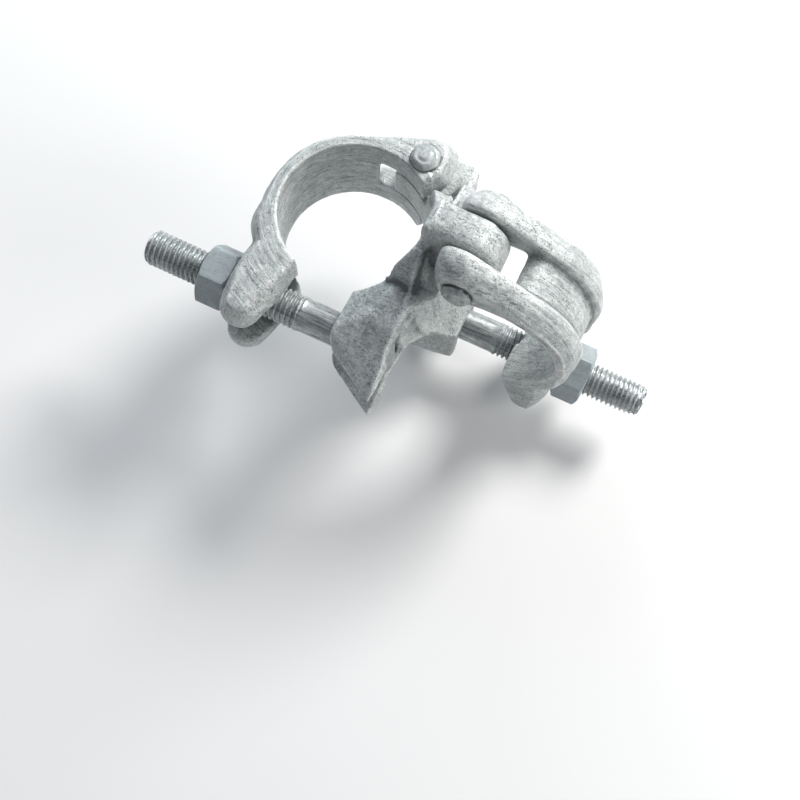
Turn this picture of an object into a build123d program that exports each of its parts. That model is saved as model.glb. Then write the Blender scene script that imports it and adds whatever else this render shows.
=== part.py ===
"""Right-angle scaffold coupler: a forged body with a saddle for each of two crossing tubes,
and for each tube a hinged flap, its rivet, a swinging T-bolt and a hexagon nut."""
from math import acos, atan2, degrees, hypot, sqrt
import os

from build123d import *

# Tubes and saddles
tube_diameter = 48.3
saddle_clearance = 0.1
axis_gap = 54.0
saddle_radius = tube_diameter / 2 + saddle_clearance
grip_half_width = 16.25
past_grip_clearance = 0.6
bore_length = 160.0
cut_reach = 60.0

# Centre block of the body
wing_half_width = 16.0
block_reach = 20.0

# Hinge of a jaw: u runs from the tube towards the flap, v towards the hinge, w along the tube
hinge_u, hinge_v = -12.3, 27.4
pin_radius = 4.4
running_gap = 0.08
rivet_head_radius = 5.2
rivet_head_height = 2.8
rivet_rim_height = 0.6
rivet_shoulder_drop = 0.9
tongue_half_width = 6.2
tongue_top = 38.5
tongue_end = -3.2
tongue_root = -31.0
tongue_foot_v = 4.0
tongue_edge_radius = 2.4
arm_gap = 0.3
gusset_back, gusset_crest, gusset_limit = -36.0, -26.4, -17.0
gusset_top = 28.8
eye_sweep = 13.4

# Flap
flap_half_width = grip_half_width
flap_flat_half_width = 11.0
flap_draw_in = 3.0
strap_radius = 30.6
panel_radius = 28.2
eye_left_u, eye_top_v = -21.8, 38.4
eye_corner = 4.5
knee_u = -12.0
window_end = 2.0
ramp_length = 4.5
ramp_drop = 2.2
ramp_overlap = 1.0
panel_foot_v, panel_top_v = -21.0, 41.0
fork_tip_v = -48.5

# T-bolt and nut
bolt_radius = 6.0
bolt_v = -32.7
pivot_u = -23.5
head_radius = 6.1
head_half_length = 11.6
head_clearance = 0.3
bolt_end_u = 58.0
bolt_chamfer = 1.0
seat_reach = 50.4
seat_gap = 0.2
slot_half_width = 6.7
slot_past_bolt = 4.0
nut_flats = 19.0
nut_height = 10.0
nut_hole_clearance = 0.05
nut_rim_step = 0.3
nut_chamfer_slope = 0.58
nut_turn = {"upright": 0.0, "ledger": -8.0}

# Bolt ears of the body
ear_half_width = 16.5
ear_front = -10.0
ear_ridge_u = -28.5
ear_back_draft = 17.0
ear_back_depth = 11.5
ear_slot_past_bolt = 8.0
ear_tip_v = -53.2

upright = Plane(origin=(0, 0, 0), x_dir=(-1, 0, 0), z_dir=(0, 0, -1))
ledger = Plane(origin=(axis_gap, 0, 0), x_dir=(1, 0, 0), z_dir=(0, -1, 0))
jaws = {"upright": upright, "ledger": ledger}


def square_to_u(jaw, u, v):
    """Plane across a jaw's bolt, at the point u, v."""
    return Plane(origin=jaw.from_local_coords((u, v, 0)), x_dir=jaw.y_dir, z_dir=jaw.x_dir)


def along_w(jaw, u, v):
    """Plane of the jaw with its origin moved to the point u, v."""
    return Plane(origin=jaw.from_local_coords((u, v, 0)), x_dir=jaw.x_dir, z_dir=jaw.z_dir)


def make_tongue(jaw):
    """Hinge tongue with the gusset at its root."""
    with BuildPart() as tongue:
        with BuildSketch(jaw):
            with BuildLine():
                top = Polyline((-14, tongue_foot_v), (tongue_root, tongue_foot_v), (tongue_root, tongue_top),
                               (-15.5, tongue_top))
                nose = ThreePointArc(top @ 1, (-6.6, 35.4), (tongue_end, 27.5))
                Polyline(nose @ 1, (tongue_end, 14), (-14, tongue_foot_v))
            make_face()
        extrude(amount=tongue_half_width, both=True)
        top_edges = tongue.edges().group_by(Axis(jaw.origin, jaw.y_dir))[-1]
        fillet(top_edges.filter_by(Axis(jaw.origin, jaw.x_dir)), tongue_edge_radius)
    with BuildPart() as gusset:
        with BuildSketch(square_to_u(jaw, gusset_back, 0)):
            Polygon((4, -15.5), (16, -16), (21, -15.4), (24.5, -14.3), (27.3, -11),
                    (gusset_top, -tongue_half_width), (gusset_top, tongue_half_width), (27.3, 11),
                    (24.5, 14.3), (21, 15.4), (16, 16), (4, 15.5), align=None)
        extrude(amount=gusset_crest - gusset_back)
        with BuildSketch(square_to_u(jaw, gusset_crest, 0)):
            Polygon((4, -15), (16, -15), (26, -tongue_half_width), (26, tongue_half_width), (16, 15), (4, 15),
                    align=None)
        extrude(amount=gusset_limit - gusset_crest)
        with BuildSketch(along_w(jaw, hinge_u, hinge_v)):
            Circle(eye_sweep)
        extrude(amount=flap_half_width, both=True, mode=Mode.SUBTRACT)
    return tongue.part + gusset.part


def open_slot(centre):
    """Slot for the T-bolt: open at one side, round at its closed end about the given centre."""
    with BuildSketch(mode=Mode.PRIVATE) as slot:
        with Locations((centre, 0)):
            Circle(slot_half_width)
        with Locations(((centre - cut_reach) / 2, 0)):
            Rectangle(centre + cut_reach, 2 * slot_half_width)
    return slot.sketch


def plane_through(jaw, first, second, third):
    """Plane through three u, v, w points of a jaw, facing away from the jaw's middle plane."""
    a, b, c = (jaw.from_local_coords(point) for point in (first, second, third))
    normal = (b - a).cross(c - a)
    if normal.dot(jaw.z_dir) < 0:
        normal = -normal
    return Plane(origin=a, x_dir=b - a, z_dir=normal)


def make_ears(jaw):
    """Pair of faceted ears that hold the T-bolt's head, joined at their root."""
    top = ear_half_width
    facets = (
        ((ear_front, -22.2, 10.0), (-11.6, -35.5, 13.0), (-20.0, -26.0, top)),
        ((-11.6, -35.5, 13.0), (-25.1, -30.7, top), (-30.5, ear_tip_v, 7.5)),
        ((-12.5, -40.0, 11.5), (-29.3, -52.0, 8.4), (-17.6, -48.3, 2.0)),
    )
    with BuildPart() as ears:
        with BuildSketch(jaw):
            Polygon((ear_front, -14), (ear_front, -38.5), (-15.0, -46.0), (-22.0, -50.6), (-30.5, ear_tip_v),
                    (-33.5, -48.5), (-33.5, -23.3), (-36.1, -14), align=None)
        extrude(amount=ear_half_width)
        with BuildSketch(jaw.offset(ear_half_width)):
            Polygon((-36.1, -14.6), (ear_ridge_u - 0.8, -23.3), (ear_ridge_u, -36), (ear_ridge_u, -cut_reach),
                    (-cut_reach, -cut_reach), (-cut_reach, -14.6), align=None)
        extrude(amount=-ear_back_depth, taper=ear_back_draft, mode=Mode.SUBTRACT)
        for facet in facets:
            with BuildSketch(plane_through(jaw, *facet)):
                Rectangle(3 * cut_reach, 3 * cut_reach)
            extrude(amount=cut_reach, mode=Mode.SUBTRACT)
        mirror(about=jaw)
        with BuildSketch(square_to_u(jaw, 0, bolt_v)):
            add(open_slot(ear_slot_past_bolt - slot_half_width))
        extrude(amount=cut_reach, both=True, mode=Mode.SUBTRACT)
    return ears.part


seat_radius = head_radius + head_clearance
with BuildPart() as body:
    with Locations((axis_gap / 2, 0, 0)):
        Box(2 * block_reach, 2 * wing_half_width, 2 * wing_half_width)
    for jaw in jaws.values():
        add(make_tongue(jaw))
        add(make_ears(jaw))
    for jaw in jaws.values():
        with BuildSketch(jaw):
            Circle(saddle_radius)
        extrude(amount=bore_length / 2, both=True, mode=Mode.SUBTRACT)
        for side in (1, -1):
            with BuildSketch(jaw.offset(side * grip_half_width)):
                Circle(saddle_radius + past_grip_clearance)
            extrude(amount=side * bore_length / 2, mode=Mode.SUBTRACT)
        with BuildSketch(along_w(jaw, hinge_u, hinge_v)):
            Circle(pin_radius + running_gap)
        extrude(amount=flap_half_width, both=True, mode=Mode.SUBTRACT)
        with BuildSketch(along_w(jaw, pivot_u, bolt_v)):
            Circle(seat_radius)
            with Locations((-cut_reach / 2, 0)):
                Rectangle(cut_reach, 2 * seat_radius)
        extrude(amount=head_half_length + head_clearance, both=True, mode=Mode.SUBTRACT)

body.part.label = "coupler_body"


def seat_u(v, inset=0.0):
    """Where the fork's seat for the nut stands at a height v: an arc about the T-bolt's pivot."""
    return pivot_u + sqrt((seat_reach - inset) ** 2 - (v - bolt_v) ** 2)


def flap_outline(inset):
    """Side outline of the flap, drawn in from its full size by the inset. It is closed through
    the tube's middle, because the saddle is bored out afterwards."""
    strap_r = strap_radius - inset
    left, top = eye_left_u + inset, eye_top_v - inset
    lean = degrees(atan2(top, knee_u) - acos(strap_r / hypot(top, knee_u)))
    with BuildLine() as outline:
        side = Polyline((-18.5 + inset, 20.5), (left, 25.0), (left, top - eye_corner))
        corner = RadiusArc(side @ 1, (left + eye_corner, top), eye_corner)
        strap = CenterArc((0, 0), strap_r, lean, -14 - lean)
        Polyline(corner @ 1, (knee_u, top), strap @ 0)
        shoulder = ThreePointArc(strap @ 1, (30.0 - inset, -13.5), (seat_u(-21, inset), -21))
        seat = ThreePointArc(shoulder @ 1, (seat_u(bolt_v, inset), bolt_v),
                             (seat_u(-42, inset), -42))
        tip = ThreePointArc(seat @ 1, (18.8, fork_tip_v + inset), (12.6 + inset, -44.0 + inset))
        Polyline(tip @ 1, (9.4 + inset, -33.0), (8.4, -20.0), (0, 0), side @ 0)
    return outline.edges()


def make_flap(jaw):
    """Hinged flap: two rails from the hinge eyes over the tube to the fork's prongs, with a
    sunk panel between them."""
    with BuildPart() as flap:
        with BuildSketch(jaw):
            make_face(flap_outline(0.0))
        extrude(amount=flap_flat_half_width, both=True)
        for side in (1, -1):
            with BuildSketch(jaw.offset(side * flap_flat_half_width)):
                make_face(flap_outline(0.0))
            with BuildSketch(jaw.offset(side * flap_half_width)):
                make_face(flap_outline(flap_draw_in))
            loft()
        with BuildSketch(jaw):
            Circle(saddle_radius)
        extrude(amount=cut_reach, both=True, mode=Mode.SUBTRACT)
        with BuildSketch(jaw):
            with Locations((window_end - cut_reach / 2, cut_reach / 2)):
                Rectangle(cut_reach, cut_reach)
        extrude(amount=tongue_half_width + arm_gap, both=True, mode=Mode.SUBTRACT)
        with BuildSketch(jaw):
            with Locations((cut_reach / 2, (panel_foot_v + panel_top_v) / 2)):
                Rectangle(cut_reach, panel_top_v - panel_foot_v)
            Circle(panel_radius, mode=Mode.SUBTRACT)
            with BuildLine():
                start, end = window_end - ramp_overlap, window_end + ramp_length
                ramp_foot = sqrt(panel_radius ** 2 - end ** 2)
                Polyline((start, ramp_foot - ramp_drop), (end, ramp_foot), (end, cut_reach),
                         (start, cut_reach), (start, ramp_foot - ramp_drop))
            make_face()
        extrude(amount=tongue_half_width + arm_gap, both=True, mode=Mode.SUBTRACT)
        with BuildSketch(square_to_u(jaw, 0, bolt_v)):
            add(open_slot(slot_past_bolt))
        extrude(amount=cut_reach, both=True, mode=Mode.SUBTRACT)
        with BuildSketch(along_w(jaw, hinge_u, hinge_v)):
            Circle(pin_radius)
        extrude(amount=cut_reach, both=True, mode=Mode.SUBTRACT)
    return flap.part


def make_rivet(jaw):
    """Hinge rivet with a low dome at each end."""
    with BuildPart() as rivet:
        axis_plane = along_w(jaw, hinge_u, hinge_v)
        with BuildSketch(Plane(origin=axis_plane.origin, x_dir=jaw.x_dir, z_dir=jaw.y_dir)):
            with BuildLine():
                top = flap_half_width + rivet_head_height
                dome = ThreePointArc((0, top), (0.7 * rivet_head_radius, top - rivet_shoulder_drop),
                                     (rivet_head_radius, flap_half_width + rivet_rim_height))
                Polyline(dome @ 1, (rivet_head_radius, flap_half_width), (pin_radius, flap_half_width),
                         (pin_radius, 0), (0, 0), dome @ 0)
            make_face()
        revolve(axis=Axis(axis_plane.origin, jaw.z_dir), revolution_arc=360)
        mirror(about=jaw)
    return rivet.part


def make_bolt(jaw):
    """T-bolt: a round shank with a cross-bar head."""
    with BuildPart() as bolt:
        with BuildSketch(square_to_u(jaw, pivot_u, bolt_v)):
            Circle(bolt_radius)
        extrude(amount=bolt_end_u - pivot_u)
        chamfer(bolt.edges().sort_by(Axis(jaw.origin, jaw.x_dir))[-1], bolt_chamfer)
        with BuildSketch(along_w(jaw, pivot_u, bolt_v)):
            Circle(head_radius)
        extrude(amount=head_half_length, both=True)
    return bolt.part


def make_nut(jaw, turn):
    """Plain hexagon nut, chamfered at both faces and turned about the bolt."""
    start = pivot_u + seat_reach + seat_gap
    circumradius = nut_flats / sqrt(3)
    with BuildPart() as nut:
        with BuildSketch(square_to_u(jaw, start, bolt_v)):
            RegularPolygon(circumradius, 6, rotation=turn)
        extrude(amount=nut_height)
        cone_foot = circumradius - nut_flats / 2
        with BuildSketch(Plane(origin=jaw.from_local_coords((start, bolt_v, 0)), x_dir=jaw.x_dir,
                               z_dir=jaw.z_dir)):
            with BuildLine():
                drop = cone_foot * nut_chamfer_slope
                rim = nut_flats / 2 - nut_rim_step
                Polyline((0, 0), (0, rim), (drop, circumradius),
                         (nut_height - drop, circumradius), (nut_height, rim),
                         (nut_height, 0), (0, 0))
            make_face()
        revolve(axis=Axis(jaw.from_local_coords((0, bolt_v, 0)), jaw.x_dir), mode=Mode.INTERSECT)
        with BuildSketch(square_to_u(jaw, start, bolt_v)):
            Circle(bolt_radius + nut_hole_clearance)
        extrude(amount=nut_height, mode=Mode.SUBTRACT)
    return nut.part


os.makedirs("parts", exist_ok=True)
export_step(body.part, "parts/coupler_body.step")
for jaw_name, jaw in jaws.items():
    pieces = {
        "flap": make_flap(jaw),
        "hinge_rivet": make_rivet(jaw),
        "t_bolt": make_bolt(jaw),
        "nut": make_nut(jaw, nut_turn[jaw_name]),
    }
    for piece_name, piece in pieces.items():
        piece.label = f"{jaw_name}_{piece_name}"
        export_step(piece, f"parts/{piece.label}.step")
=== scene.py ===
"""Looks of a right-angle scaffold coupler: galvanised forgings with rounded, pitted surfaces,
rolled threads, chamfered hexagon nuts and upset rivet heads."""
import math

import bpy
import numpy as np
from mathutils import Matrix, Vector


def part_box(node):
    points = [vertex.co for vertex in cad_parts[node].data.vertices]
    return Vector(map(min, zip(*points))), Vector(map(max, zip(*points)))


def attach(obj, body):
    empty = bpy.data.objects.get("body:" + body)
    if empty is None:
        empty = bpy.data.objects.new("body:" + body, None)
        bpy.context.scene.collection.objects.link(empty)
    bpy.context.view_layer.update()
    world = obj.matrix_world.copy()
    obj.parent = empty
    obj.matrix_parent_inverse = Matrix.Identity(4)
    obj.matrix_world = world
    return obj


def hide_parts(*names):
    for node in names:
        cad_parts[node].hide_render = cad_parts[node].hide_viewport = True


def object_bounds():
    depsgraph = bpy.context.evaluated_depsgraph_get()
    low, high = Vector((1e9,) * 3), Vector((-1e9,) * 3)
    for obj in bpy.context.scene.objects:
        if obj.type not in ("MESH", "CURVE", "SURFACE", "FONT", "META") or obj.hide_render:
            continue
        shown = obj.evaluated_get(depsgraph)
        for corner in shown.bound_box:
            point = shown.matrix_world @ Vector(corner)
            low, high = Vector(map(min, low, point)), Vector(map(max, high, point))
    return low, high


MM = 0.001

# Jaw frames: origin, u from the tube towards the flap, v towards the hinge, w along the tube
JAWS = {
    "upright": (Vector((0.0, 0.0, 0.0)), Vector((-1, 0, 0)), Vector((0, 1, 0)), Vector((0, 0, -1))),
    "ledger": (Vector((0.054, 0.0, 0.0)), Vector((1, 0, 0)), Vector((0, 0, 1)), Vector((0, -1, 0))),
}
SADDLE_RADIUS = 24.25 * MM

# Lattice noise: multipliers of its hash
HASH_AXES = (374761393, 668265263, 1274126177)
HASH_SEED = 144665
HASH_MIX = 1103515245

# Forgings: rounding of the edges
FORGING_VOXEL = 0.45 * MM
SOFTEN_STEPS = {"body": 22, "flap": 38}
SOFTEN_STRENGTH = 0.5
SADDLE_SOFTENING = 0.25
SADDLE_SOFTENING_REACH = 1.2 * MM
TONGUE_STEPS = 60
TONGUE_V = 27 * MM
TONGUE_BLEND = 3 * MM
TONGUE_HALF_WIDTH = 8 * MM

# Forgings: relief of the surface. A wave is a height, a feature size and an offset to the seed
SKIN_WAVES = ((0.16 * MM, 7 * MM, 0), (0.07 * MM, 2.6 * MM, 1), (0.035 * MM, 1.1 * MM, 2))
SKIN_LOSS = 0.05 * MM
STREAK_RELIEF = 0.09 * MM
STREAK_SIZE = 1.3 * MM
SADDLE_RELIEF_REACH = 1.0 * MM
SADDLE_RELIEF_SHARE = 0.15
MATING_W = 6.35 * MM
MATING_REACH = 0.9 * MM
MATING_LOSS = 0.03 * MM
EDGE_BLUR_STEPS = 30
EDGE_SCALE = 0.25 * MM

# Flash along the parting lines. An ear ramp is where it starts below the tube, its length and its step
FLASH_HEIGHT = 0.42 * MM
FLASH_WIDTH = 0.55 * MM
PARTING_PLANE_X = 27.0 * MM
BODY_FLASH_WAVES = ((0.5 * MM, 6 * MM, 0), (0.25 * MM, 2 * MM, 0))
BODY_FLASH_FACING = 1.3
EAR_RAMPS = ((14 * MM, 9 * MM, 1.4 * MM), (36 * MM, 14 * MM, 1.6 * MM))
EAR_SLOT_V = -20 * MM
EAR_SLOT_HALF_WIDTH = 7.5 * MM
PARTING_RADIUS = 27.4 * MM
FLAP_FLASH_WAVES = ((0.4 * MM, 5 * MM, 0), (0.2 * MM, 1.8 * MM, 0))
FLAP_ARC_END_V = -24 * MM
PRONG_START_V = -22 * MM
PRONG_PARTING_U = 22.0 * MM

# Streaks: how far each direction is shortened
BODY_STREAKS = (0.7, 1.0, 1.0)
FLAP_STREAK_ARC = 0.12
TURNED_STREAKS = (0.06, 1.0, 1.0)

# T-bolts
BOLT_V = -32.7 * MM
BOLT_PIVOT_U = -23.5 * MM
BOLT_SIDES = 72
SHANK_RADIUS = 5.6 * MM
SHANK_ROWS = 12
THREAD_CREST = 5.95 * MM
THREAD_DEPTH = 0.95 * MM
THREAD_PITCH = 1.75 * MM
THREAD_START = 2.6 * MM
SHANK_END = THREAD_START - 0.6 * MM
THREAD_FIRST_ROW = THREAD_START - 0.3 * MM
THREAD_RISE = 0.9 * MM
THREAD_FADE = 0.2 * MM
THREAD_ROWS_PER_TURN = 20
CREST_FLAT = 0.12
FLANK_SHARE = 0.72
TIP_CHAMFER = 1.1 * MM
TIP_MARGIN = 0.01 * MM
PEENED_LENGTH = 6.0 * MM
PEENED_LOSS = 0.2 * MM
PEENED_SHARE = 0.8
PEENED_RELIEF = 0.55 * MM
PEENED_WAVES = ((1, 2.4 * MM, 97), (1, 1.1 * MM, 98))
PEENED_OFFSET = 0.7

# Cross-bar heads. The rounding is a distance from the end and the radius lost there
HEAD_HALF = 11.5 * MM
HEAD_RADIUS = 6.05 * MM
HEAD_ROUNDING = ((0.0, 1.0 * MM), (0.3 * MM, 0.35 * MM), (1.0 * MM, 0.0))
HEAD_SIDES = 64

# Nuts. A mouth is the countersink's depth and its radius at the face
NUT_TURNS = {"upright": 0.0, "ledger": -8.0}
NUT_SIDES = 144
NUT_FLATS = 18.9 * MM
NUT_CORNER_WEAR = 0.12 * MM
NUT_BORE = 6.02 * MM
NUT_SEAT_MOUTH = (0.6 * MM, 6.7 * MM)
NUT_TOP_MOUTH = (0.7 * MM, 6.75 * MM)
NUT_CHAMFER_ZONE = 2.2 * MM
NUT_CHAMFER_ROWS = 18
NUT_FLAT_ROWS = 8
NUT_FACE_STEP = 0.35 * MM
NUT_CHAMFER_SLOPE = 1.75
NUT_ROW_DIGITS = 8
NUT_SHARP_ANGLE = math.radians(28)

# Hinge rivets. The dent is its depth, then its place and width as shares of the dome's radius
RIVET_SIDES = 64
RIVET_FACE_W = 16.25 * MM
RIVET_DOME_RADIUS = 5.0 * MM
RIVET_DOME_STEPS = 26
RIVET_RIM_HEIGHT = 0.6 * MM
RIVET_CROWN_GAP = 0.7 * MM
RIVET_DENT = (0.38 * MM, 0.52, 0.13)
RIVET_UNDERCUT = 0.4 * MM
RIVET_PIN_RADIUS = 4.35 * MM
RIVET_WAVE = (0.18 * MM, 2.4 * MM)
RIVET_LOSS = 0.15 * MM

# Seeds of the relief
BODY_SEED = 11
FLAP_SEEDS = {"upright": 31, "ledger": 41}
RIVET_SEEDS = {"upright": 71, "ledger": 72}

# Zinc: colours, and how grain and specks change roughness and height
# The hollow grey is painted shade: a near-black laid into hollows and creases where shade falls
HOLLOW_SHADE_GREY = (0.085, 0.10, 0.105, 1)
WORN_ZINC = (0.78, 0.80, 0.79, 1)
LINE_GREY = (0.06, 0.07, 0.075, 1)
SPECK_GREY = (0.045, 0.055, 0.06, 1)
GRAIN_ROUGHNESS = 0.16
SPECK_ROUGHNESS = 0.2
GRAIN_HEIGHT = 0.45
SPECK_HEIGHT = -0.9

# Stage. A light is its name, place, size, watts and colour
FLOOR_SIZE = 3.0
FLOOR_GAP = 0.2 * MM
FLOOR_GREY = (0.86, 0.86, 0.86, 1)
FLOOR_ROUGHNESS = 0.9
LIGHT_AIM = (0.027, 0.0, 0.0)
LIGHTS = (
    ("key", (0.30, 0.62, 0.50), 0.34, 8.2, (1.0, 0.985, 0.96)),
    ("side", (0.75, 0.0, 0.35), 0.5, 2.6, (1.0, 0.99, 0.97)),
    ("sky", (-0.55, 0.50, 0.42), 0.6, 3.4, (0.88, 0.95, 1.0)),
)
WORLD_COLOUR = (0.90, 0.94, 1.0, 1)
WORLD_STRENGTH = 0.27

# Camera, fitted to the two tubes' outlines in the photograph
CAMERA_PLACE = Vector((0.0673, -0.1320, 0.3026))
CAMERA_LOOK = Vector((-0.093, 0.274, -0.957)).normalized()
CAMERA_UP = Vector((-0.414, 0.864, 0.287))
CAMERA_LENS = 45.0
CAMERA_SENSOR = 36.0
CAMERA_CLIP_START = 0.005

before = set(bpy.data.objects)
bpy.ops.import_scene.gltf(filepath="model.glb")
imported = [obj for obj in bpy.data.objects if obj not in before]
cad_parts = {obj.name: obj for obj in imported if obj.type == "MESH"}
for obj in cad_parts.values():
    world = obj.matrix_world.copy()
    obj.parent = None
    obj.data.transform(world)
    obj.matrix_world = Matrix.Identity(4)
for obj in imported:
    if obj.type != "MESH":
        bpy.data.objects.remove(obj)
cad_box = [list(corner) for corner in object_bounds()]


# ---------------------------------------------------------------- mesh helpers

def new_object(name, mesh):
    """Object of a mesh, linked to the scene, shaded smooth."""
    piece = bpy.data.objects.new(name, mesh)
    bpy.context.scene.collection.objects.link(piece)
    mesh.shade_smooth()
    return piece


def grid_mesh(name, rows, closed_ends=True):
    """Mesh of rows of points, each row a closed ring, with a fan over each end."""
    rows = np.asarray(rows, float)
    n_rows, n = rows.shape[:2]
    points = [tuple(p) for p in rows.reshape(-1, 3)]
    faces = []
    for i in range(n_rows - 1):
        for k in range(n):
            a, b = i * n + k, i * n + (k + 1) % n
            faces.append((a, b, b + n, a + n))
    if closed_ends:
        for row, flip in ((0, True), (n_rows - 1, False)):
            centre = len(points)
            points.append(tuple(rows[row].mean(axis=0)))
            for k in range(n):
                a, b = row * n + k, row * n + (k + 1) % n
                faces.append((b, a, centre) if flip else (a, b, centre))
    mesh = bpy.data.meshes.new(name)
    mesh.from_pydata(points, [], faces)
    mesh.validate()
    return mesh


def read_points(mesh):
    """Positions of a mesh's vertices."""
    co = np.zeros(len(mesh.vertices) * 3, np.float32)
    mesh.vertices.foreach_get("co", co)
    return co.reshape(-1, 3).astype(float)


def write_points(mesh, points):
    """Move a mesh's vertices."""
    mesh.vertices.foreach_set("co", points.astype(np.float32).ravel())
    mesh.update()


def read_normals(mesh):
    """Normals of a mesh's vertices."""
    n = np.zeros(len(mesh.vertices) * 3, np.float32)
    mesh.vertex_normals.foreach_get("vector", n)
    return n.reshape(-1, 3).astype(float)


def edge_pairs(mesh):
    """The two vertices of every edge."""
    e = np.zeros(len(mesh.edges) * 2, np.int32)
    mesh.edges.foreach_get("vertices", e)
    return e.reshape(-1, 2)


def neighbour_mean(values, pairs, degree):
    """Mean of each vertex's neighbours' values."""
    total = np.zeros_like(values)
    if values.ndim == 1:
        total += np.bincount(pairs[:, 0], values[pairs[:, 1]], len(values))
        total += np.bincount(pairs[:, 1], values[pairs[:, 0]], len(values))
        return total / degree
    for axis in range(values.shape[1]):
        total[:, axis] += np.bincount(pairs[:, 0], values[pairs[:, 1], axis], len(values))
        total[:, axis] += np.bincount(pairs[:, 1], values[pairs[:, 0], axis], len(values))
    return total / degree[:, None]


def soften(values, pairs, degree, strength, steps):
    """Move each vertex's value towards its neighbours' mean, in place, a number of times."""
    for _ in range(steps):
        values += (neighbour_mean(values, pairs, degree) - values) * strength


def hash_lattice(ix, iy, iz, seed):
    """Repeatable value from 0 to 1 for each lattice point."""
    h = ix * HASH_AXES[0] + iy * HASH_AXES[1] + iz * HASH_AXES[2] + seed * HASH_SEED
    h = (h ^ (h >> 13)) * HASH_MIX
    h = h ^ (h >> 16)
    return (h & 0xFFFFF) / float(0xFFFFF)


def value_noise(points, size, seed):
    """Smooth noise from -1 to 1 with features of the given size."""
    p = points / size
    base = np.floor(p).astype(np.int64)
    t = p - base
    t = t * t * t * (t * (t * 6 - 15) + 10)
    total = np.zeros(len(points))
    for dx in (0, 1):
        for dy in (0, 1):
            for dz in (0, 1):
                weight = ((t[:, 0] if dx else 1 - t[:, 0]) * (t[:, 1] if dy else 1 - t[:, 1])
                          * (t[:, 2] if dz else 1 - t[:, 2]))
                total += weight * hash_lattice(base[:, 0] + dx, base[:, 1] + dy, base[:, 2] + dz, seed)
    return total * 2 - 1


def waviness(points, waves, seed):
    """Sum of noises, each a wave of height, feature size and offset to the seed."""
    return sum(height * value_noise(points, size, seed + offset) for height, size, offset in waves)


def jaw_coordinates(points, jaw):
    """u, v, w of points in a jaw's frame."""
    origin, u, v, w = JAWS[jaw]
    local = points - np.array(origin)
    return local @ np.array(u), local @ np.array(v), local @ np.array(w)


def jaw_matrix(jaw):
    """Transform from a jaw's frame to the part's."""
    origin, u, v, w = JAWS[jaw]
    matrix = Matrix((u, v, w)).transposed().to_4x4()
    matrix.translation = origin
    return matrix


def set_lay(mesh, vectors):
    """Store the streaks' coordinates, which are shortened along the streaks."""
    lay = mesh.attributes.new("lay", "FLOAT_VECTOR", "POINT")
    lay.data.foreach_set("vector", vectors.astype(np.float32).ravel())


def lay_coordinates(points, jaw):
    """Streaks run round a flap's tube, and only slightly along X on the body."""
    if not jaw:
        return points * np.array(BODY_STREAKS)
    u, v, w = jaw_coordinates(points, jaw)
    arc = np.arctan2(v, u) * SADDLE_RADIUS
    return np.stack([arc * FLAP_STREAK_ARC, np.hypot(u, v), w], axis=1)


# ---------------------------------------------------------------- forgings

def body_flash(points, normals, seed):
    """Height of the flash where the body's two dies met, around the outside of the block."""
    line = PARTING_PLANE_X + waviness(points, BODY_FLASH_WAVES, seed)
    clear = np.ones(len(points))
    for jaw in JAWS:
        _, v, w = jaw_coordinates(points, jaw)
        steps = sum(step * np.clip((-v - start) / length, 0, 1) for start, length, step in EAR_RAMPS)
        line = line - JAWS[jaw][1][0] * steps
        slot = (v < EAR_SLOT_V) & (np.abs(w) < EAR_SLOT_HALF_WIDTH)
        clear[slot] = 0
    bead = np.exp(-((points[:, 0] - line) / FLASH_WIDTH) ** 2)
    sideways = BODY_FLASH_FACING - np.abs(normals[:, 0]) * BODY_FLASH_FACING
    return FLASH_HEIGHT * bead * clear * np.clip(sideways, 0, 1)


def flap_flash(points, normals, jaw, seed):
    """Height of the parting ridge along a flap's two side faces, halfway through its thickness."""
    u, v, _ = jaw_coordinates(points, jaw)
    wave = waviness(points, FLAP_FLASH_WAVES, seed)
    sideways = np.abs(normals @ np.array(JAWS[jaw][3]))
    arc = np.exp(-((np.hypot(u, v) - PARTING_RADIUS - wave) / FLASH_WIDTH) ** 2) * (v > FLAP_ARC_END_V)
    prong = np.exp(-((u - PRONG_PARTING_U - wave) / FLASH_WIDTH) ** 2) * (v < PRONG_START_V)
    return FLASH_HEIGHT * np.maximum(arc, prong) * np.clip(sideways * 2 - 0.6, 0, 1)


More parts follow.
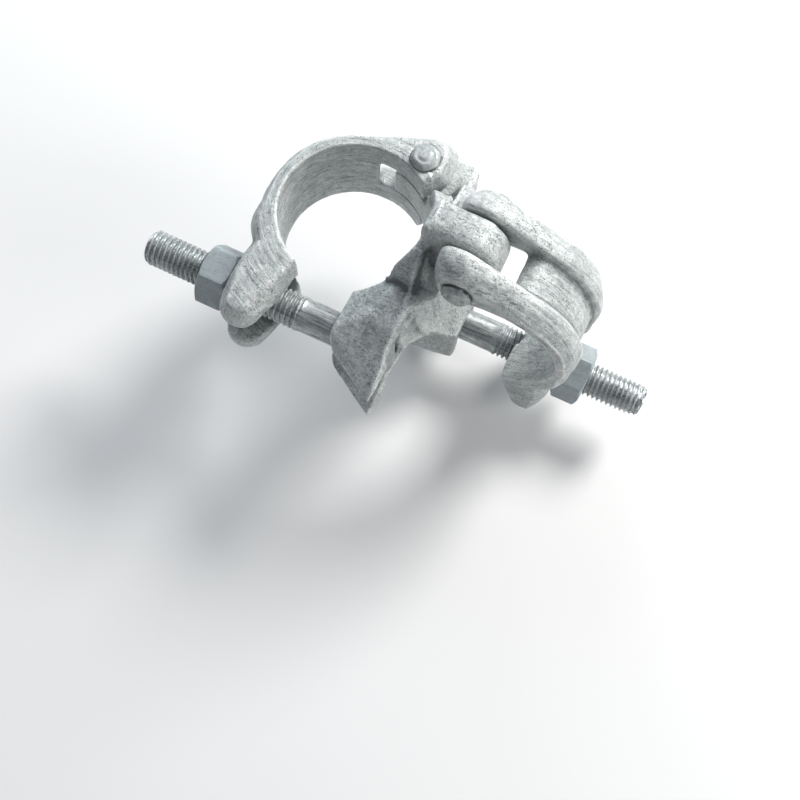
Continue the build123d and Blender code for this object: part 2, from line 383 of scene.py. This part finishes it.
def forged(node, name, seed, jaw=None):
    """Forged copy of a CAD node: edges rounded, flash along the parting line, surface pitted."""
    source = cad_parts[node]
    piece = new_object(name + "_blank", source.data.copy())
    remesh = piece.modifiers.new("Remesh", "REMESH")
    remesh.mode = "VOXEL"
    remesh.voxel_size = FORGING_VOXEL
    graph = bpy.context.evaluated_depsgraph_get()
    mesh = bpy.data.meshes.new_from_object(piece.evaluated_get(graph))
    bpy.data.objects.remove(piece)
    mesh.materials.clear()

    # Round the edges, less at the saddles and more on the body's hinge tongues
    points = read_points(mesh)
    pairs = edge_pairs(mesh)
    degree = np.bincount(pairs.ravel(), minlength=len(points)).astype(float)
    strength = np.full(len(points), SOFTEN_STRENGTH)
    for side in JAWS:
        u, v, _ = jaw_coordinates(points, side)
        near = np.clip((np.hypot(u, v) - SADDLE_RADIUS) / SADDLE_SOFTENING_REACH, 0, 1)
        saddle = SOFTEN_STRENGTH * (SADDLE_SOFTENING + (1 - SADDLE_SOFTENING) * near)
        strength = np.minimum(strength, saddle)
    start = points.copy()
    soften(points, pairs, degree, strength[:, None], SOFTEN_STEPS["flap" if jaw else "body"])
    if not jaw:
        tongue = np.zeros(len(points))
        for side in JAWS:
            _, v, w = jaw_coordinates(points, side)
            along = np.clip((v - TONGUE_V) / TONGUE_BLEND, 0, 1)
            tongue = np.maximum(tongue, along * (np.abs(w) < TONGUE_HALF_WIDTH))
        soften(points, pairs, degree, (SOFTEN_STRENGTH * tongue)[:, None], TONGUE_STEPS)

    # Relief: almost none at the saddles, and only inward where the hinge's faces meet
    write_points(mesh, points)
    normals = read_normals(mesh)
    lift = waviness(start, SKIN_WAVES, seed) - SKIN_LOSS
    lay = lay_coordinates(points, jaw)
    lift += STREAK_RELIEF * value_noise(lay, STREAK_SIZE, seed + len(SKIN_WAVES))
    lift += flap_flash(points, normals, jaw, seed) if jaw else body_flash(points, normals, seed)
    for side in JAWS:
        u, v, _ = jaw_coordinates(points, side)
        away = (np.hypot(u, v) - SADDLE_RADIUS) / SADDLE_RELIEF_REACH
        lift *= np.clip(away, SADDLE_RELIEF_SHARE, 1)
    for side in [jaw] if jaw else JAWS:
        _, v, w = jaw_coordinates(points, side)
        facing = (np.abs(np.abs(w) - MATING_W) < MATING_REACH) & (v > 0)
        lift[facing] = np.minimum(lift[facing], -MATING_LOSS)
    points += normals * lift[:, None]
    low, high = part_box(node)
    points = np.clip(points, np.array(low), np.array(high))
    write_points(mesh, points)

    # Edges and hollows, for the material: brighter rubbed edges, and painted shade darkening the hollows
    smooth = points.copy()
    soften(smooth, pairs, degree, 0.5, EDGE_BLUR_STEPS)
    bulge = np.einsum("ij,ij->i", points - smooth, normals) / EDGE_SCALE
    edge = mesh.attributes.new("edge", "FLOAT", "POINT")
    edge.data.foreach_set("value", np.clip(bulge, -1, 1).astype(np.float32))
    set_lay(mesh, lay_coordinates(points, jaw))
    return new_object(name, mesh)


# ---------------------------------------------------------------- turned and rolled pieces

def ring_angles(sides):
    """Angles of a ring's points."""
    return np.linspace(0, 2 * math.pi, sides, endpoint=False)


def ring_across(u, v, across, radius, turns):
    """Ring of points about an axis along w, in a jaw's frame."""
    return np.stack([u + radius * np.cos(turns), v + radius * np.sin(turns),
                     np.full(len(turns), across)], axis=1)


def ring_along(along, v, radius, turns):
    """Ring of points about an axis along u, in a jaw's frame."""
    return np.stack([np.full(len(turns), along), v + radius * np.cos(turns),
                     radius * np.sin(turns)], axis=1)


def thread_radius(along, turn, crest, end):
    """Radius of a rolled thread at a height and an angle, run out at both its ends."""
    phase = (along / THREAD_PITCH - turn / (2 * math.pi)) % 1.0
    ramp = np.abs(phase - 0.5) * 2
    groove = np.clip((ramp - CREST_FLAT) / FLANK_SHARE, 0, 1)
    groove = groove * groove * (3 - 2 * groove)
    run_in = np.clip((along - THREAD_START) / THREAD_PITCH, 0, 1)
    fade = run_in * np.clip((end - along) / THREAD_FADE, 0, 1)
    return crest - THREAD_DEPTH * groove * fade


def t_bolt(jaw):
    """T-bolt without its head: plain shank and rolled thread; the ledger bolt's tip is peened."""
    low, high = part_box(f"{jaw}_t_bolt")
    origin, u_axis = JAWS[jaw][:2]
    tip_u = max((low - origin).dot(u_axis), (high - origin).dot(u_axis))
    turns = ring_angles(BOLT_SIDES)
    plain = np.linspace(BOLT_PIVOT_U, SHANK_END, SHANK_ROWS)
    threaded = np.arange(THREAD_FIRST_ROW, tip_u - TIP_MARGIN, THREAD_PITCH / THREAD_ROWS_PER_TURN)
    rows = []
    for along in np.concatenate([plain, threaded, [tip_u]]):
        radius = np.full(BOLT_SIDES, SHANK_RADIUS)
        if along > plain[-1]:
            rise = np.clip((along - plain[-1]) / THREAD_RISE, 0, 1)
            crest = SHANK_RADIUS + (THREAD_CREST - SHANK_RADIUS) * rise
            radius = thread_radius(along, turns, crest, tip_u)
        radius = np.minimum(radius, THREAD_CREST - TIP_CHAMFER + (tip_u - along))
        if jaw == "ledger":
            surface = ring_along(along, 0.0, radius, turns)
            hurt = np.clip(1 - (tip_u - along) / PEENED_LENGTH, 0, 1)
            radius = radius + (SHANK_RADIUS - PEENED_LOSS - radius) * hurt * PEENED_SHARE
            radius = radius + hurt * PEENED_RELIEF * (waviness(surface, PEENED_WAVES, 0) - PEENED_OFFSET)
        rows.append(ring_along(along, BOLT_V, radius, turns))
    piece = new_object(f"{jaw}_bolt", grid_mesh(f"{jaw}_bolt", rows))
    piece.data.transform(jaw_matrix(jaw))
    return piece


def bolt_head(jaw):
    """Cross-bar head of a T-bolt, its ends rounded over."""
    turns = ring_angles(HEAD_SIDES)
    near_end = [(inset - HEAD_HALF, HEAD_RADIUS - loss) for inset, loss in HEAD_ROUNDING]
    profile = near_end + [(-across, radius) for across, radius in reversed(near_end)]
    rows = [ring_across(BOLT_PIVOT_U, BOLT_V, across, radius, turns) for across, radius in profile]
    piece = new_object(f"{jaw}_bolt_head", grid_mesh(f"{jaw}_bolt_head", rows))
    piece.data.transform(jaw_matrix(jaw))
    return piece


def nut(jaw, turn_deg):
    """Hexagon nut, chamfered at both faces, with a countersunk hole."""
    low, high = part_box(f"{jaw}_nut")
    origin, u_axis = JAWS[jaw][:2]
    seat, top = sorted([(low - origin).dot(u_axis), (high - origin).dot(u_axis)])
    height = top - seat
    turns = ring_angles(NUT_SIDES)
    rows = []

    def ring(along, radius):
        rows.append(ring_along(seat + along, BOLT_V, radius, turns))

    sixth = math.pi / 3
    from_flat = (turns - math.radians(turn_deg)) % sixth - sixth / 2
    hexagon = NUT_FLATS / 2 / np.cos(from_flat)
    corner = NUT_FLATS / 2 / math.cos(sixth / 2)
    hexagon = np.minimum(hexagon, corner - NUT_CORNER_WEAR)
    ring(NUT_SEAT_MOUTH[0], NUT_BORE)
    ring(0.0, NUT_SEAT_MOUTH[1])
    outer = np.unique(np.round(np.concatenate([
        np.linspace(0, NUT_CHAMFER_ZONE, NUT_CHAMFER_ROWS),
        np.linspace(NUT_CHAMFER_ZONE, height - NUT_CHAMFER_ZONE, NUT_FLAT_ROWS),
        np.linspace(height - NUT_CHAMFER_ZONE, height, NUT_CHAMFER_ROWS)]), NUT_ROW_DIGITS))
    for along in outer:
        rim = NUT_FLATS / 2 - NUT_FACE_STEP + NUT_CHAMFER_SLOPE * min(along, height - along)
        ring(along, np.minimum(hexagon, rim))
    ring(height, NUT_TOP_MOUTH[1])
    ring(height - NUT_TOP_MOUTH[0], NUT_BORE)

    # Join the last ring to the first, which closes the hole's wall
    sleeve = grid_mesh(f"{jaw}_nut_body", rows, closed_ends=False)
    last = (len(rows) - 1) * NUT_SIDES
    bore = []
    for k in range(NUT_SIDES):
        after = (k + 1) % NUT_SIDES
        bore.append((last + k, last + after, after, k))
    faces = [tuple(p.vertices) for p in sleeve.polygons] + bore
    points = [tuple(v.co) for v in sleeve.vertices]
    mesh = bpy.data.meshes.new(f"{jaw}_nut_mesh")
    mesh.from_pydata(points, [], faces)
    mesh.validate()
    piece = new_object(f"{jaw}_hex_nut", mesh)
    piece.data.transform(jaw_matrix(jaw))
    piece.data.set_sharp_from_angle(angle=NUT_SHARP_ANGLE)
    return piece


def rivet(jaw, seed):
    """Hinge rivet: hammered domes on both ends of a plain pin."""
    low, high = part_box(f"{jaw}_hinge_rivet")
    origin, u_axis, v_axis, w_axis = JAWS[jaw]
    centre = (low + high) / 2 - origin
    pin_u, pin_v = centre.dot(u_axis), centre.dot(v_axis)
    half = abs((high - low).dot(w_axis)) / 2
    turns = ring_angles(RIVET_SIDES)
    dent_depth, dent_place, dent_width = RIVET_DENT
    profile = []
    for k in range(1, RIVET_DOME_STEPS + 1):
        out = math.sin(math.pi / 2 * k / RIVET_DOME_STEPS)
        rise = (1 - out ** 4) * (half - RIVET_FACE_W - RIVET_CROWN_GAP) + RIVET_RIM_HEIGHT
        dent = dent_depth * math.exp(-((out - dent_place) / dent_width) ** 2)
        profile.append((RIVET_FACE_W + rise - dent, RIVET_DOME_RADIUS * out))
    for radius in (RIVET_DOME_RADIUS, RIVET_PIN_RADIUS):
        profile.append((RIVET_FACE_W - RIVET_UNDERCUT, radius))
    profile = [(-across, radius) for across, radius in profile] + profile[::-1]
    rows = [ring_across(pin_u, pin_v, across, radius, turns) for across, radius in profile]
    mesh = grid_mesh(f"{jaw}_rivet_pin", rows)
    mesh.transform(jaw_matrix(jaw))
    points = read_points(mesh)
    mesh.update()
    normals = read_normals(mesh)
    wave_height, wave_size = RIVET_WAVE
    points += normals * (wave_height * value_noise(points, wave_size, seed) - RIVET_LOSS)[:, None]
    write_points(mesh, points)
    return new_object(f"{jaw}_rivet", mesh)


# ---------------------------------------------------------------- materials

def galvanised(name, dark, light, roughness, metallic, speck, mottling, streaking, bump):
    """Hot-dip zinc: cloudy grey, specks and streaks, painted shade darkening the hollows, and brighter
    rubbed edges.
    """
    material = bpy.data.materials.new(name)
    material.use_nodes = True
    tree = material.node_tree
    shader = tree.nodes["Principled BSDF"]
    shader.inputs["Metallic"].default_value = metallic
    coords = tree.nodes.new("ShaderNodeTexCoord")

    def noise(scale, detail=4.0, rough=0.55, distortion=0.0):
        n = tree.nodes.new("ShaderNodeTexNoise")
        n.inputs["Scale"].default_value = scale
        n.inputs["Detail"].default_value = detail
        n.inputs["Roughness"].default_value = rough
        n.inputs["Distortion"].default_value = distortion
        tree.links.new(coords.outputs["Object"], n.inputs["Vector"])
        return n.outputs["Fac"]

    def ramp(source, low, high, a=0.0, b=1.0):
        r = tree.nodes.new("ShaderNodeMapRange")
        r.inputs["From Min"].default_value = low
        r.inputs["From Max"].default_value = high
        r.inputs["To Min"].default_value = a
        r.inputs["To Max"].default_value = b
        tree.links.new(source, r.inputs["Value"])
        return r.outputs["Result"]

    def mix(factor, a, b):
        m = tree.nodes.new("ShaderNodeMix")
        m.data_type = "RGBA"
        for socket, value in ((m.inputs["Factor"], factor), (m.inputs["A"], a), (m.inputs["B"], b)):
            if isinstance(value, bpy.types.NodeSocket):
                tree.links.new(value, socket)
            else:
                socket.default_value = value
        return m.outputs["Result"]

    def maths(kind, a, b):
        m = tree.nodes.new("ShaderNodeMath")
        m.operation = kind
        for socket, value in ((m.inputs[0], a), (m.inputs[1], b)):
            if isinstance(value, bpy.types.NodeSocket):
                tree.links.new(value, socket)
            else:
                socket.default_value = value
        return m.outputs["Value"]

    lay = tree.nodes.new("ShaderNodeAttribute")
    lay.attribute_name = "lay"
    clouds = ramp(noise(scale=110, detail=5, rough=0.6, distortion=0.6), 0.34, 0.66)
    patches = ramp(noise(scale=520, detail=4, rough=0.65), 0.36, 0.64)
    crowd = ramp(noise(scale=200, detail=3, rough=0.6), 0.38, 0.60, 0.35, 1.0)
    specks = ramp(noise(scale=2300, detail=2, rough=0.7), 0.575, 0.63)
    grain = noise(scale=6500, detail=2, rough=0.5)
    streak_noise = tree.nodes.new("ShaderNodeTexNoise")
    streak_noise.inputs["Scale"].default_value = 1500
    streak_noise.inputs["Detail"].default_value = 3.0
    tree.links.new(lay.outputs["Vector"], streak_noise.inputs["Vector"])
    streaks = ramp(streak_noise.outputs["Fac"], 0.36, 0.64)
    lines = maths("MULTIPLY", ramp(streak_noise.outputs["Fac"], 0.43, 0.36), crowd)
    tone = maths("ADD", maths("MULTIPLY", clouds, mottling), maths("MULTIPLY", patches, 1 - mottling))
    tone = maths("ADD", maths("MULTIPLY", tone, 1 - streaking), maths("MULTIPLY", streaks, streaking))
    colour = mix(tone, (*dark, 1), (*light, 1))
    edge = tree.nodes.new("ShaderNodeAttribute")
    edge.attribute_name = "edge"
    worn = ramp(edge.outputs["Fac"], 0.25, 1.0, 0.0, 0.45)
    # Painted shade: the hollows are darkened towards a near-black grey
    painted_hollow_shade = ramp(edge.outputs["Fac"], -0.05, -0.7, 0.0, 0.75)
    colour = mix(painted_hollow_shade, colour, HOLLOW_SHADE_GREY)
    colour = mix(worn, colour, WORN_ZINC)
    spots = maths("MULTIPLY", specks, crowd)
    colour = mix(maths("MULTIPLY", lines, streaking), colour, LINE_GREY)
    colour = mix(maths("MULTIPLY", spots, speck), colour, SPECK_GREY)
    tree.links.new(colour, shader.inputs["Base Color"])
    rough = maths("ADD", maths("MULTIPLY", grain, GRAIN_ROUGHNESS),
                  maths("MULTIPLY", specks, SPECK_ROUGHNESS))
    tree.links.new(maths("ADD", rough, roughness - GRAIN_ROUGHNESS / 2), shader.inputs["Roughness"])
    height = maths("ADD", maths("MULTIPLY", streaks, streaking),
                   maths("ADD", maths("MULTIPLY", spots, SPECK_HEIGHT),
                         maths("MULTIPLY", grain, GRAIN_HEIGHT)))
    b = tree.nodes.new("ShaderNodeBump")
    b.inputs["Strength"].default_value = 1.0
    b.inputs["Distance"].default_value = bump
    tree.links.new(height, b.inputs["Height"])
    tree.links.new(b.outputs["Normal"], shader.inputs["Normal"])
    return material


forging_zinc = galvanised("forging_zinc", dark=(0.27, 0.30, 0.305), light=(0.70, 0.73, 0.72), roughness=0.52,
                          metallic=0.45, speck=0.85, mottling=0.5, streaking=0.3, bump=0.16 * MM)
rivet_zinc = galvanised("rivet_zinc", dark=(0.24, 0.27, 0.275), light=(0.60, 0.63, 0.625), roughness=0.50,
                        metallic=0.5, speck=0.8, mottling=0.4, streaking=0.1, bump=0.14 * MM)
bolt_zinc = galvanised("bolt_zinc", dark=(0.24, 0.27, 0.275), light=(0.66, 0.69, 0.69), roughness=0.36,
                       metallic=0.75, speck=0.45, mottling=0.3, streaking=0.5, bump=0.05 * MM)
nut_zinc = galvanised("nut_zinc", dark=(0.27, 0.31, 0.33), light=(0.42, 0.47, 0.49), roughness=0.46,
                      metallic=0.35, speck=0.4, mottling=0.6, streaking=0.1, bump=0.04 * MM)


def finish_piece(piece, material, body, slot, *nodes):
    """Give a piece its material and its body, and hide the nodes it stands for; its slot is not used."""
    if "lay" not in piece.data.attributes:
        set_lay(piece.data, read_points(piece.data) * np.array(TURNED_STREAKS))
    piece.data.materials.clear()
    piece.data.materials.append(material)
    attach(piece, body)
    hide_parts(*nodes)


body_piece = forged("coupler_body", "forged_body", BODY_SEED)
finish_piece(body_piece, forging_zinc, "body", "galvanised_forging", "coupler_body")
for jaw in JAWS:
    flap = forged(f"{jaw}_flap", f"{jaw}_forged_flap", FLAP_SEEDS[jaw], jaw)
    finish_piece(flap, forging_zinc, f"{jaw}_flap_body", "galvanised_forging", f"{jaw}_flap")
    pin = rivet(jaw, RIVET_SEEDS[jaw])
    finish_piece(pin, rivet_zinc, f"{jaw}_flap_body", "galvanised_rivet", f"{jaw}_hinge_rivet")
    bolt = t_bolt(jaw)
    finish_piece(bolt, bolt_zinc, f"{jaw}_bolt_body", "galvanised_bolt", f"{jaw}_t_bolt")
    head = bolt_head(jaw)
    finish_piece(head, bolt_zinc, f"{jaw}_bolt_body", "galvanised_bolt", f"{jaw}_t_bolt")
    hexagon = nut(jaw, NUT_TURNS[jaw])
    finish_piece(hexagon, nut_zinc, f"{jaw}_nut_body", "zinc_nut", f"{jaw}_nut")


# ---------------------------------------------------------------- stage, light and camera

half = FLOOR_SIZE / 2
ground = cad_box[0][2] - FLOOR_GAP
floor_corners = [(x * half, y * half, ground) for x, y in ((-1, -1), (1, -1), (1, 1), (-1, 1))]
floor_mesh = bpy.data.meshes.new("floor")
floor_mesh.from_pydata(floor_corners, [], [(0, 1, 2, 3)])
floor = new_object("floor", floor_mesh)
floor_material = bpy.data.materials.new("floor_paint")
floor_material.use_nodes = True
floor_shader = floor_material.node_tree.nodes["Principled BSDF"]
floor_shader.inputs["Base Color"].default_value = FLOOR_GREY
floor_shader.inputs["Roughness"].default_value = FLOOR_ROUGHNESS
floor_mesh.materials.append(floor_material)


def area_light(name, place, size, watts, colour):
    """Round area light, aimed at the coupler."""
    data = bpy.data.lights.new(name, "AREA")
    data.shape = "DISK"
    data.size = size
    data.energy = watts
    data.color = colour
    lamp = bpy.data.objects.new(name, data)
    bpy.context.scene.collection.objects.link(lamp)
    lamp.location = place
    lamp.rotation_mode = "QUATERNION"
    lamp.rotation_quaternion = (Vector(LIGHT_AIM) - Vector(place)).to_track_quat("-Z", "Y")


for light in LIGHTS:
    area_light(*light)

world = bpy.data.worlds.new("studio")
world.use_nodes = True
world.node_tree.nodes["Background"].inputs["Color"].default_value = WORLD_COLOUR
world.node_tree.nodes["Background"].inputs["Strength"].default_value = WORLD_STRENGTH
bpy.context.scene.world = world
bpy.context.scene.view_settings.view_transform = "Standard"

camera_data = bpy.data.cameras.new("camera")
camera_data.lens = CAMERA_LENS
camera_data.sensor_width = CAMERA_SENSOR
camera_data.clip_start = CAMERA_CLIP_START
camera = bpy.data.objects.new("camera", camera_data)
bpy.context.scene.collection.objects.link(camera)
right = CAMERA_LOOK.cross(CAMERA_UP).normalized()
up = right.cross(CAMERA_LOOK)
turned = Matrix((right, up, -CAMERA_LOOK)).transposed().to_4x4()
turned.translation = CAMERA_PLACE
camera.matrix_world = turned
bpy.context.scene.camera = camera

bpy.context.view_layer.update()
